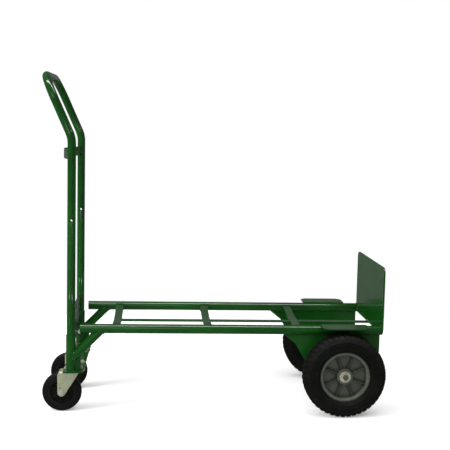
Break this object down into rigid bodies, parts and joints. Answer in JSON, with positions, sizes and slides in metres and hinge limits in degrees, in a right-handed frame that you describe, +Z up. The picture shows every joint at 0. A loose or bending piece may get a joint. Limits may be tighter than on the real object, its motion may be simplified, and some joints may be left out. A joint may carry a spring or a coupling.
{
  "type": "convertible hand truck",
  "caption": "Tubular steel hand truck in platform mode: strap deck, removable loop handle, nose plate, main wheels and swivel casters.",
  "frame": {"origin": "on the floor, under the middle of the truck's bounding box", "axes": "+X from the operator's handle to the nose plate, +Y to the left, +Z up"},
  "size_m": [1.063, 0.548, 1.0506],
  "materials": {
    "green_paint": "dark green gloss enamel",
    "yellow_zinc": "yellowish zinc plate",
    "bright_zinc": "bright zinc plate",
    "tyre_rubber": "black rubber",
    "caster_rubber": "black rubber",
    "hub_plastic": "dark grey moulded plastic",
    "caster_hub_plastic": "black moulded plastic"
  },
  "bodies": {
    "frame": {"side_rail_left": "green_paint", "side_rail_right": "green_paint", "cross_strap_rear": "green_paint", "cross_strap_middle": "green_paint", "cross_strap_front": "green_paint", "centre_strap": "green_paint", "nose_plate": "green_paint", "axle_bracket_left": "green_paint", "axle_bracket_right": "green_paint", "fender_left": "green_paint", "fender_right": "green_paint", "axle": "bright_zinc", "axle_spacers": "bright_zinc", "axle_washers": "bright_zinc", "cotter_pins": "bright_zinc", "leg_socket_left": "green_paint", "leg_socket_right": "green_paint", "leg_gusset_left": "green_paint", "leg_gusset_right": "green_paint", "leg_brace_left": "green_paint", "leg_brace_right": "green_paint", "leg_tie_plate": "green_paint", "clamp_bosses": "green_paint", "caster_beam": "green_paint", "caster_plate_left": "yellow_zinc", "caster_plate_right": "yellow_zinc", "caster_race_left": "yellow_zinc", "caster_race_right": "yellow_zinc", "caster_bolts": "bright_zinc", "caster_nuts": "bright_zinc", "kingpin_left": "yellow_zinc", "kingpin_right": "yellow_zinc"},
    "handle": {"handle_loop": "green_paint", "handle_strap": "green_paint"},
    "clamp_screw_left": {"clamp_screw_left": "bright_zinc"},
    "caster_left": {"caster_fork_left": "yellow_zinc", "caster_axle_left": "bright_zinc", "caster_axle_nut_left": "bright_zinc"},
    "caster_wheel_left": {"caster_tread_left": "caster_rubber", "caster_hub_left": "caster_hub_plastic", "caster_bushing_left": "bright_zinc"},
    "wheel_left": {"tyre_left": "tyre_rubber", "wheel_rim_left": "hub_plastic", "wheel_hub_left": "hub_plastic", "wheel_bearings_left": "bright_zinc"},
    "clamp_screw_right": {"clamp_screw_right": "bright_zinc"},
    "caster_right": {"caster_fork_right": "yellow_zinc", "caster_axle_right": "bright_zinc", "caster_axle_nut_right": "bright_zinc"},
    "caster_wheel_right": {"caster_tread_right": "caster_rubber", "caster_hub_right": "caster_hub_plastic", "caster_bushing_right": "bright_zinc"},
    "wheel_right": {"tyre_right": "tyre_rubber", "wheel_rim_right": "hub_plastic", "wheel_hub_right": "hub_plastic", "wheel_bearings_right": "bright_zinc"}
  },
  "joints": [
    {"name": "handle_lift", "type": "slide", "parent": "frame", "child": "handle", "axis": [0.0192, 0, 0.9998], "range_m": [0, 0.175]},
    {"name": "wheel_left_spin", "type": "hinge", "parent": "frame", "child": "wheel_left", "pos_m": [0.39826, 0.236, 0.127], "axis": [0, 1, 0], "continuous": true},
    {"name": "caster_left_swivel", "type": "hinge", "parent": "frame", "child": "caster_left", "pos_m": [-0.4295, 0.128, 0.127], "axis": [0, 0, 1], "continuous": true},
    {"name": "caster_left_spin", "type": "hinge", "parent": "caster_left", "child": "caster_wheel_left", "pos_m": [-0.47, 0.128, 0.0615], "axis": [0, 1, 0], "continuous": true},
    {"name": "clamp_screw_left_turn", "type": "hinge", "parent": "frame", "child": "clamp_screw_left", "pos_m": [-0.43573, 0.16, 0.18802], "axis": [0, 1, 0], "range_deg": [-180, 180]},
    {"name": "wheel_right_spin", "type": "hinge", "parent": "frame", "child": "wheel_right", "pos_m": [0.39826, -0.236, 0.127], "axis": [0, 1, 0], "continuous": true},
    {"name": "caster_right_swivel", "type": "hinge", "parent": "frame", "child": "caster_right", "pos_m": [-0.4295, -0.128, 0.127], "axis": [0, 0, 1], "continuous": true},
    {"name": "caster_right_spin", "type": "hinge", "parent": "caster_right", "child": "caster_wheel_right", "pos_m": [-0.47, -0.128, 0.0615], "axis": [0, 1, 0], "continuous": true},
    {"name": "clamp_screw_right_turn", "type": "hinge", "parent": "frame", "child": "clamp_screw_right", "pos_m": [-0.43573, -0.16, 0.18802], "axis": [0, 1, 0], "range_deg": [-180, 180]}
  ]
}
